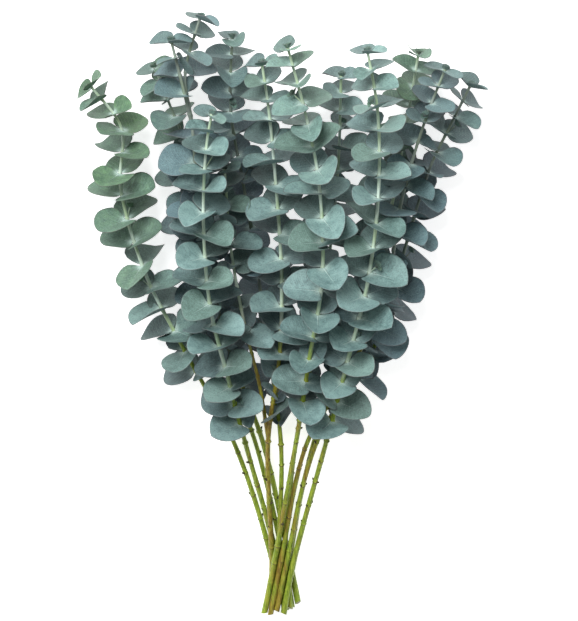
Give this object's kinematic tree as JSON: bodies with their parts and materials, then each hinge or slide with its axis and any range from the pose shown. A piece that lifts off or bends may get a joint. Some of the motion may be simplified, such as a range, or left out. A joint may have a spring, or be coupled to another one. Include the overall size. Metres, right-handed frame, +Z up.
{
  "type": "cut eucalyptus bunch",
  "caption": "Gathered bunch of cut silver-leaved eucalyptus sprigs with round paired leaves, fanned above a narrow waist of bare crossing stems, lying on its side.",
  "frame": {"origin": "on the surface the bunch lies on, under the middle of its footprint", "axes": "+Y from the cut ends to the tips, +X to the right, +Z up from the surface"},
  "size_m": [0.4, 0.67, 0.1346],
  "materials": {
    "leaf": "matt waxy blue-green",
    "stem": "satin yellow-green bark"
  },
  "bodies": {
    "root": {"front_left_sprig": "leaf", "front_right_sprig": "leaf", "front_centre_sprig": "leaf", "far_left_sprig": "leaf", "far_right_sprig": "leaf", "right_sprig": "leaf", "left_forked_sprig": "leaf", "right_crown_sprig": "leaf", "centre_forked_sprig": "leaf", "left_back_sprig": "leaf", "centre_back_sprig": "leaf", "right_low_sprig": "leaf"}
  },
  "joints": []
}
